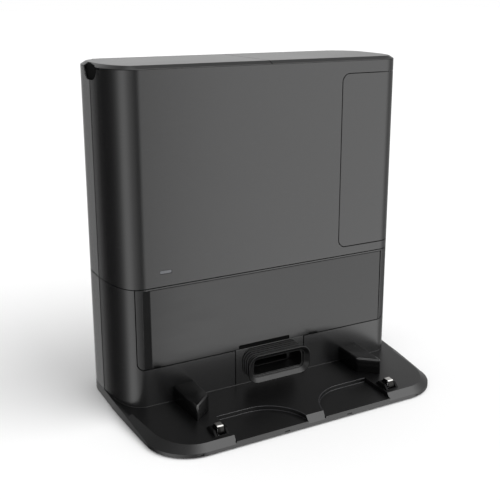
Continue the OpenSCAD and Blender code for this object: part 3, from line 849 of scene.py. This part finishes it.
class STATION_OT_port(bpy.types.Operator):
    """Suction port: its plate, the rubber sleeve and the flared lip"""

    bl_idname = "station.port"
    bl_label = "Suction Port"

    def execute(self, context):
        self.plate(span("port_bezel"))
        box = span("port_lip")
        half_width, half_height = box.x1, (box.z1 - box.z0) / 2
        self.lip(box, half_width, half_height)
        self.sleeve(box, half_width, half_height)
        return {"FINISHED"}

    def plate(self, b):
        plate = block("port_plate", *b)
        # A near-black plate in the panel's notch over the port: painted shade.
        shade = window(*PORT_NOTCH, b.z1 + 0.1, span("front_panel").z0 + 5, 1.5, lambda p: p.z > b.z1 + 1,
                       y0=b.y0 + 0.9, y1=b.y1 - 0.1)
        shade.name = "port_shade"
        smooth(shade, 0.2)
        mount(shade, "station", PAINTS["grip"])
        combine(plate, port_ring("cutter", 39, 18, 11, b.y0 - 5, b.y1 + 5))
        mount_housing(plate, "port_bezel", edge=0.5)

    def lip(self, box, half_width, half_height):
        lip = port_ring("port_mouth_lip", half_width - 0.4, half_height - 0.4, 14.6, box.y0, box.y0 + 2.2)
        pick(lip, "FACE", lambda f: f.normal.y > 0.9)
        step_in(2.2)
        push(4.0)
        pick(lip, "FACE", lambda f: f.normal.y < -0.9)
        step_in(1.3)
        step_in(4.6, -4.2)
        step_in(1.2)
        for _ in range(2):
            push(1.6)
            step_in(0.9)
        bpy.ops.mesh.delete(type="FACE")
        pick(lip, "FACE", lambda f: f.normal.y > 0.95 and middle(f).y > box.y0 + 5)
        bpy.ops.mesh.delete(type="FACE")
        put_down()
        bridge_rims(lip)
        smooth(lip, 0.35)
        lip.visible_glossy = False
        mount(lip, "port_mouth", PAINTS["seal"], "port_lip", slot="rubber_black")

    def sleeve(self, box, half_width, half_height):
        ribs, start, wide, high = 5, 9, 1.15, 1.27
        centre = (0, box.y0 * MM, (box.z0 + box.z1) / 2 * MM)
        sleeve = port_ring("port_sleeve", half_width - 9, half_height - 6, 9, box.y0 + 6.2, box.y0 + 7.2)
        pick(sleeve, "FACE", lambda f: f.normal.y < -0.9)
        bpy.ops.mesh.delete(type="FACE")
        pick(sleeve, "FACE", lambda f: f.normal.y > 0.9)
        rib = (span("port_bellows").y1 - box.y0 - start) / ribs
        for _ in range(ribs):
            for width, height, run in ((wide, high, 0.42), (1 / wide, 1 / high, 0.56)):
                push(0.01)
                bpy.ops.transform.resize(value=(width, 1, height), center_override=centre)
                push(rib * run)
        bpy.ops.mesh.delete(type="FACE")
        put_down()
        thicken(sleeve, 1.2)
        smooth(sleeve, 0.5, 3)
        sleeve.visible_glossy = False
        mount(sleeve, "station", PAINTS["seal"], "port_bellows", slot="rubber_black")
        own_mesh(sleeve)


def base_outline(name, z0, z1):
    """The plan of the base: square rear with round corners, sides that close in, round front corners."""
    b, start = TRAY, SIDE_LINES[0]
    piece = block(name, b.x0, b.x1, b.y0, b.y1, z0, z1)
    for y in SIDE_LINES:
        open_up(piece)
        bpy.ops.mesh.bisect(plane_co=(0, y * MM, 0), plane_no=(0, 1, 0))

    def close_in(p):
        share = (start - p.y) / (start - b.y0)
        return (-math.copysign(8.5 * share ** 1.2, p.x), 0, 0)

    slide(piece, lambda p: p.y < start - 1, close_in)
    round_off(piece, lambda e: along(e, 2) and middle(e).y < b.y0 + 0.1, 50, 18)
    round_off(piece, lambda e: along(e, 2) and middle(e).y > b.y1 - 0.1, sizes().rear_radius / MM, 14)
    return piece


def well_parts(side, z0, z1):
    """The round part and the straight outer part of a well, a hair apart in height."""
    bowl = rod("cutter", (side * WELL_X, LIP, (z0 + z1) / 2), WELL_RADIUS, z1 - z0, sides=96)
    trim(bowl, (side * (WELL_X + 10.3), 0, 0), (side, 0, 0), closed=True)
    straight = block("cutter", *flank(side, WELL_X, WELL_EDGE), LIP - 60, LIP + WELL_RADIUS - 0.02,
                     z0 - 0.03, z1 + 0.03)
    return bowl, straight


def painted_well_highlight(side, radius, z0, z1):
    """A fine ring in a lighter paint round a well: a painted highlight on the well's edge."""
    arc = open_wall(rod("well_edge_highlights", (side * WELL_X, LIP, (z0 + z1) / 2), radius, z1 - z0, sides=96))
    trim(arc, (0, LIP + 7, 0), (0, -1, 0))
    trim(arc, (side * WELL_X, 0, 0), (side, 0, 0))
    thicken(arc, 0.6)
    bar = block("bar", *flank(side, WELL_X, WELL_EDGE - 0.4), LIP + radius - 0.6, LIP + radius, z0, z1)
    for piece in (arc, bar):
        smooth(piece, 0.2)
    return join(arc, bar)


def shape_rim(base):
    """Slopes the rim of the base: widest round the front corners, and it runs out at the sides' kink."""
    start = SIDE_LINES[0]

    def outer(v):
        return any(abs(f.normal.z) < 0.3 for f in v.link_faces)

    def share(y, end):
        return min(1.0, (start - y) / (start - TRAY.y0 - end))

    def widen(p):
        if p.y > start - 3:
            return (math.copysign(6.2, p.x), 0, 0)
        corner = min(1.0, max(0.0, (abs(p.x) - 140) / 45))
        return (-math.copysign((5.4 * share(p.y, 30) - 2.2 * (1 - share(p.y, 30))) * corner, p.x), 0, 0)

    top = PLATEAU - 0.1
    slide(base, lambda p: p.z > top and p.y < start + 1, widen, lambda v: not outer(v))
    slide(base, lambda p: p.z > top and p.y < start - 1,
          lambda p: (0, 0, -8.1 * share(p.y, 50) ** 1.3), outer)


def cut_front(base, x, half, z0, z1, radius, depth):
    """A small slot in the front of the rim."""
    combine(base, window(x - half, x + half, z0, z1, radius, y0=LIP - 3, y1=LIP + depth))


def foot_line():
    """The thin step where the housing stands on the base."""
    line = open_wall(body_form("foot_line", PLATEAU - 0.6, PLATEAU + 0.75, -0.75))
    trim(line, (0, FRONT + 40, 0), (0, 1, 0))
    thicken(line, 2.2)
    for side in (-1, 1):
        trim(line, (side * (HALF - 0.05), 0, 0), (side, 0, 0), closed=True)
    smooth(line, 0.3)
    return line


class STATION_OT_base(bpy.types.Operator):
    """Base moulding with its bevelled rim, the two wells and the foot line of the housing"""

    bl_idname = "station.base"
    bl_label = "Base"

    def execute(self, context):
        base = base_outline("base_moulding", TRAY.z0, PLATEAU)
        pick(base, "FACE", lambda f: f.normal.z > 0.9)
        step_in(6.5)
        shape_rim(base)
        strip = span("contact_strip_right")
        for side in (-1, 1):
            sill = block("sill", *flank(side, 11.9, WELL_EDGE + 0.1),
                         LIP + 0.05, LIP + 9, TRAY.z0 + 1, WELL_FLOOR + 0.6)
            combine(base, sill, "UNION")
            for cutter in well_parts(side, WELL_FLOOR, WELL_FLOOR + 30):
                combine(base, cutter)
            contact = side * CONTACT_X
            combine(base, block("cutter", contact - CONTACT_SLOT, contact + CONTACT_SLOT,
                                strip.y0 - 1, strip.y1 + 1, 0, PLATEAU + 5))
            cut_front(base, side * RIM_SLOT_X, 4, 2.6, 4.6, 0.8, 1.6)
        for x in RIM_MARKS:
            cut_front(base, x, 3.4, 3.2, 4.6, 0.5, 1.0)
        smooth(base, 0.5)
        join(base, foot_line())
        # Thin rings in a lighter paint round the top and the floor of each well: painted highlights on
        # the well edges.
        edges = join(*[painted_well_highlight(side, radius, z - 0.3, z + 0.25) for side in (-1, 1)
                       for radius, z in ((WELL_RADIUS + 0.3, PLATEAU), (WELL_RADIUS - 0.05, WELL_FLOOR))])
        mount(edges, "station", PAINTS["edge"])
        mount(base, "station", PAINTS["base"], "base_tray", slot="black_base")
        return {"FINISHED"}


class STATION_OT_guide_blocks(bpy.types.Operator):
    """The two blocks that centre the robot"""

    bl_idname = "station.guide_blocks"
    bl_label = "Guide Blocks"

    def execute(self, context):
        b = span("guide_block_right")
        right = block("guide_right", b.x0, b.x1, b.y0, FRONT + 1, b.z0 - 0.3, b.z1)
        slide(right, lambda p: p.y < b.y0 + 1 and p.x < b.x0 + 1, lambda p: (0, 20.5, 0))
        slide(right, lambda p: p.y < b.y0 + 1 and p.x > b.x1 - 1, lambda p: (-4.2, 0, 0))
        round_off(right, lambda e: along(e, 2) and middle(e).y < FRONT, 2.8, 3)
        round_off(right, lambda e: middle(e).z > b.z1 - 0.1 and middle(e).y < FRONT + 0.5
                  and any(f.normal.z < 0.5 for f in e.link_faces), 2.2, 3)
        smooth(right, 0)
        for piece, side in ((mirrored(right, "guide_left"), "left"), (right, "right")):
            mount(piece, "station", PAINTS["block"], "guide_block_" + side, slot="black_base")
        return {"FINISHED"}


def charging_strip(name, b):
    """A bent strip, drawn as its middle line from the rear foot over the top and given its thickness."""
    half = 0.4
    path = ((b.y1 - half, b.z0), (b.y1 - 0.5, 17), (b.y1 - 1.8, 22.4), (b.y1 - 3.1, b.z1 - half),
            (b.y0 + 3.3, b.z1 - half), (b.y0 + 2, 22.4), (b.y0 + 0.5, 17.9), (b.y0 + half, b.z0))
    (y, z), rise = path[0], 0.6
    strip = block(name, b.x0, b.x1, y - half, y + half, z, z + rise)
    pick(strip, "FACE", lambda f: f.normal.z < 0.9)
    bpy.ops.mesh.delete(type="FACE")
    pick(strip, "EDGE", lambda e: along(e, 0) and middle(e).y > y)
    bpy.ops.mesh.delete(type="EDGE")
    pick(strip, "EDGE", lambda e: along(e, 0))
    here = Vector((0, y - half, z + rise))
    for spot in path[1:]:
        step = Vector((0, *spot)) - here
        bpy.ops.mesh.extrude_region_move(TRANSFORM_OT_translate={"value": step * MM})
        here += step
    put_down()
    apply(strip, "SOLIDIFY", thickness=2 * half * MM, offset=0, use_even_offset=True)
    open_up(strip)
    bpy.ops.mesh.normals_make_consistent(inside=False)
    smooth(strip, 0.45, 3, 18)
    return strip


def contact_wedge(name, b, strip):
    """The wedge round a charging strip, with a slot for it."""
    wedge = block(name, *b[:4], PLATEAU - 0.3, b.z1)
    slide(wedge, lambda p: p.z > b.z1 - 0.1 and p.y < b.y0 + 1, lambda p: (0, 6, 0))
    slide(wedge, lambda p: p.z > b.z1 - 0.1 and p.y > b.y1 - 1, lambda p: (0, -6, 0))
    combine(wedge, block("cutter", strip.x0 - 1.8, strip.x1 + 1.8, strip.y0 - 2, strip.y1 + 0.6, 0, 40))
    smooth(wedge, 0.7, 3)
    return wedge


def coil_spring(name, b):
    """A wound spring that fills the box."""
    turns, wire, radius = 6, 0.32, 2.05
    put_down()
    bpy.ops.mesh.primitive_circle_add(
        vertices=8, radius=wire * MM, rotation=(math.pi / 2, 0, 0), location=(radius * MM, 0, 0))
    spring = name_new(name)
    apply(spring, "SCREW", steps=18, render_steps=18, iterations=turns, angle=2 * math.pi, axis="Z",
          screw_offset=(b.z1 - b.z0 - 0.7) / turns * MM, use_normal_calculate=True)
    open_up(spring)
    bpy.ops.mesh.fill_holes(sides=0)
    bpy.ops.mesh.normals_make_consistent(inside=False)
    bpy.ops.transform.translate(
        value=((b.x0 + b.x1) * MM / 2, (b.y0 + b.y1) * MM / 2, (b.z0 + 0.35) * MM))
    put_down()
    smooth(spring, 0)
    return spring


class STATION_OT_contacts(bpy.types.Operator):
    """Charging strips, the wedges they stand on and the springs under them"""

    bl_idname = "station.contacts"
    bl_label = "Charging Contacts"

    def execute(self, context):
        box = span("contact_strip_right")
        strip = charging_strip("strip_right", box)
        wedge = contact_wedge("wedge_right", span("contact_pedestal_right"), box)
        spring = coil_spring("spring_right", span("contact_spring_right"))
        lefts = [mirrored(piece, name) for piece, name in (
            (strip, "strip_left"), (wedge, "wedge_left"), (spring, "spring_left"))]
        for side, (metal_strip, foot, coil) in (("right", (strip, wedge, spring)), ("left", lefts)):
            mount(metal_strip, "contact_" + side, PAINTS["strip"], "contact_strip_" + side,
                  slot="contact_metal")
            mount(foot, "station", PAINTS["wedge"], "contact_pedestal_" + side, slot="black_base")
            mount(coil, "station", PAINTS["steel"], "contact_spring_" + side, slot="steel")
            foot_z = span("contact_spring_" + side).z0 * MM
            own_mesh(coil)
        return {"FINISHED"}


class STATION_OT_light_window(bpy.types.Operator):
    """Status light window in the front"""

    bl_idname = "station.light_window"
    bl_label = "Light Window"

    def execute(self, context):
        b = span("status_light")
        lens = window(b.x0, b.x1, b.z0, b.z1, 1.85, y0=b.y0 + 0.15, y1=b.y1)
        lens.name = "light_window"
        smooth(lens, 0.3)
        mount(lens, "station", PAINTS["lens"], "status_light", slot="light_lens")
        return {"FINISHED"}


class STATION_OT_back_details(bpy.types.Operator):
    """Exhaust grille at the back and the rubber feet"""

    bl_idname = "station.back_details"
    bl_label = "Grille and Feet"

    def execute(self, context):
        b = span("exhaust_grille")
        slits, first, pitch, height = 9, 4.2, 6, 3.2
        grille = window(b.x0, b.x1, b.z0, b.z1, 3.8, y0=b.y0, y1=b.y1)
        grille.name = "exhaust_louvres"
        for k in range(slits):
            z = b.z0 + first + k * pitch
            slit = block("cutter", b.x0 + 4, b.x1 - 4, b.y0 - 3, b.y1 + 3, z, z + height)
            slide(slit, lambda p: p.y > b.y1, lambda p: (0, 0, -2.4))
            combine(grille, slit)
        mount_housing(grille, "exhaust_grille", edge=0.35)
        for place in ("front_left", "front_right", "rear_left", "rear_right"):
            f = span("foot_" + place)
            pad = rod("pad_" + place, ((f.x0 + f.x1) / 2, (f.y0 + f.y1) / 2, (f.z0 + f.z1) / 2),
                      (f.x1 - f.x0) / 2, f.z1 - f.z0)
            pick(pad, "FACE", lambda f: f.normal.z < -0.9)
            step_in(2.2)
            step_in(0.6, -0.5)
            put_down()
            smooth(pad, 0.4)
            mount(pad, "station", PAINTS["foot"], "foot_" + place, slot="rubber_black")
        return {"FINISHED"}


class STATION_OT_inner_finishes(bpy.types.Operator):
    """Materials of the pieces inside, which keep their CAD shape"""

    bl_idname = "station.inner_finishes"
    bl_label = "Inner Finishes"

    def execute(self, context):
        groups = {
            "smoke": ("clean_tank", "used_tank"),
            "bin": ("dust_bin",),
            "inside": ("middle_deck", "tank_divider", "bin_divider", "bin_tray", "motor_housing",
                       "power_supply", "water_pump", "drain_pump", "suction_motor"),
            # The duct behind the port takes the near-black, low-gloss wedge paint: painted shade that
            # keeps the port dark inside.
            "wedge": ("dust_duct",),
            "under": ("bottom_cover", "power_inlet"),
            "seal": ("duct_seal", "left_lid_seal", "right_lid_seal"),
            "steel": ("motor_shaft", "left_lid_pins", "right_lid_pins", "housing_screws"),
            "white": ("hepa_filter", "bin_filter", "clean_tank_valve", "used_tank_valve", "impeller"),
            "hose": ("water_hose", "drain_hose"),
            "green": ("main_board", "beacon_board"),
        }
        for paint, nodes in groups.items():
            for node in nodes:
                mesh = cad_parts[node].data
                mesh.materials.clear()
                mesh.materials.append(PAINTS[paint])
        return {"FINISHED"}


# ---- stage ---------------------------------------------------------------------


# Brightness that the gloss sees round the horizon, at degrees to the right of the front
SIDE_LIGHT = (
    (-180, 0.8), (-170, 0.75), (-162, 0.58), (-155, 0.48), (-151, 0.02), (-141, 0.0), (-122, 0.05),
    (-108, 0.30), (-97, 0.9), (-86, 1.9), (-70, 2.3), (-55, 1.9), (-36, 1.2), (-18, 0.85), (2, 0.34),
    (15, 0.08), (19.5, 1.7), (23, 3.05), (30, 2.85), (45, 2.7), (58, 1.3), (72, 0.6), (95, 0.5),
    (120, 0.45), (140, 0.75), (150, 0.95), (164, 0.95), (180, 0.8))

# The same higher up, as shares of a full turn from the back and of the brightest light
HIGH_LIGHT = (
    (0.0, 0.08), (0.43, 0.10), (0.49, 0.45), (0.55, 0.95), (0.66, 0.95), (0.80, 0.08), (1.0, 0.08))
BRIGHTEST, OVERHEAD = 4.5, 2.0

# Camera: where it stands in metres, how many degrees it looks down and to the right, its shift
EYE, LOOK_DOWN, LOOK_RIGHT, EYE_SHIFT = (-0.4813, -0.85277, 0.48821), 14.25, 28.25, -0.0887


def studio_light():
    """A pale room for the eye and for matt surfaces, and soft boxes round it for the gloss."""
    world = bpy.data.worlds.new("Studio")
    bpy.context.scene.world = world
    studio = Paint(world)
    way = studio.node("ShaderNodeTexCoord", out="Generated")
    parts = studio.node("ShaderNodeSeparateXYZ", {}, {0: way})
    x, y, z = (Wire(studio, parts.socket.node.outputs[i]) for i in range(3))
    turn = studio.sum("ARCTAN2", x, 0 - y) / (2 * math.pi) + 0.5
    ring = studio.ramp(turn, *[(a / 360 + 0.5, v / BRIGHTEST) for a, v in SIDE_LIGHT]) * BRIGHTEST
    above = studio.ramp(turn, *HIGH_LIGHT) * BRIGHTEST
    high = studio.ramp(z, (0.28, 0), (0.60, 1), interpolation="EASE")
    peak = studio.ramp(z, (0.90, 0), (0.97, 1), interpolation="EASE")
    gloss = ring * (1 - high) + above * (high - peak) + peak * OVERHEAD
    room = bpy.context.scene.station_studio.sky
    path = studio.node("ShaderNodeLightPath")
    seen = {n: Wire(studio, path.socket.node.outputs[n]) for n in ("Is Camera Ray", "Is Glossy Ray")}
    light = gloss * seen["Is Glossy Ray"] + (1 - seen["Is Glossy Ray"]) * room
    light = light * (1 - seen["Is Camera Ray"]) + seen["Is Camera Ray"] * 1.0
    back = studio.node("ShaderNodeBackground", {}, {"Color": (1, 1, 1, 1), "Strength": light})
    studio.node("ShaderNodeOutputWorld", {}, {"Surface": back})


class STATION_OT_stage(bpy.types.Operator):
    """Pale floor, soft light and the camera"""

    bl_idname = "station.stage"
    bl_label = "Stage"

    def execute(self, context):
        scene = context.scene
        studio = scene.station_studio
        scene.view_settings.view_transform = "Standard"
        studio_light()

        put_down()
        bpy.ops.mesh.primitive_plane_add(size=60, location=(0, 0, -0.0002))
        floor = name_new("floor")
        pale = Paint(bpy.data.materials.new("Pale floor"))
        haze = pale.noise(1.2, 2, 0.5)
        floor.data.materials.append(pale.surface(
            Base_Color=pale.mix(haze, (0.89, 0.89, 0.89), (0.92, 0.92, 0.92)),
            Roughness=0.9 + haze * 0.05, Specular_IOR_Level=0.0))
        floor.visible_glossy = False

        key_data = bpy.data.lights.new("Broad key light", "SUN")
        key_data.energy, key_data.angle = studio.key, math.radians(60)
        key = bpy.data.objects.new("Broad key light", key_data)
        key.rotation_euler = (math.radians(28), math.radians(38), 0)
        key.visible_glossy = False
        scene.collection.objects.link(key)

        eye_data = bpy.data.cameras.new("Camera")
        eye_data.lens, eye_data.sensor_width, eye_data.shift_y = studio.lens, 36, EYE_SHIFT
        eye_data.clip_start, eye_data.clip_end = 0.01, 100
        eye = bpy.data.objects.new("Camera", eye_data)
        eye.location = EYE
        eye.rotation_euler = (math.radians(90 - LOOK_DOWN), 0, math.radians(-LOOK_RIGHT))
        scene.collection.objects.link(eye)
        scene.camera = eye
        return {"FINISHED"}


# ---- panel and registration ----------------------------------------------------

PIECES = (
    STATION_OT_lower_shells, STATION_OT_upper_shells, STATION_OT_lids, STATION_OT_bin_front,
    STATION_OT_front_panel, STATION_OT_port, STATION_OT_base, STATION_OT_guide_blocks,
    STATION_OT_contacts, STATION_OT_light_window, STATION_OT_back_details, STATION_OT_inner_finishes,
    STATION_OT_stage)


class STATION_PT_panel(bpy.types.Panel):
    """Lists the pieces of the station and their sizes"""

    bl_label = "Docking Station"
    bl_idname = "STATION_PT_panel"
    bl_space_type = "VIEW_3D"
    bl_region_type = "UI"
    bl_category = "Station"

    def draw(self, context):
        layout = self.layout
        for piece in PIECES:
            layout.operator(piece.bl_idname)
        for group in ("station_sizes", "station_finish", "station_studio"):
            box = layout.box()
            settings = getattr(context.scene, group)
            for name in settings.__annotations__:
                box.prop(settings, name)


CLASSES = (StationSizes, StationFinish, StationStudio, *PIECES, STATION_PT_panel)


def register():
    for item in CLASSES:
        bpy.utils.register_class(item)
    bpy.types.Scene.station_sizes = PointerProperty(type=StationSizes)
    bpy.types.Scene.station_finish = PointerProperty(type=StationFinish)
    bpy.types.Scene.station_studio = PointerProperty(type=StationStudio)


def unregister():
    del bpy.types.Scene.station_studio, bpy.types.Scene.station_finish, bpy.types.Scene.station_sizes
    for item in reversed(CLASSES):
        bpy.utils.unregister_class(item)


def main():
    register()
    mix_paints()
    for piece in PIECES:
        group, name = piece.bl_idname.split(".")
        getattr(getattr(bpy.ops, group), name)()
    put_down()


if __name__ == "__main__":
    main()
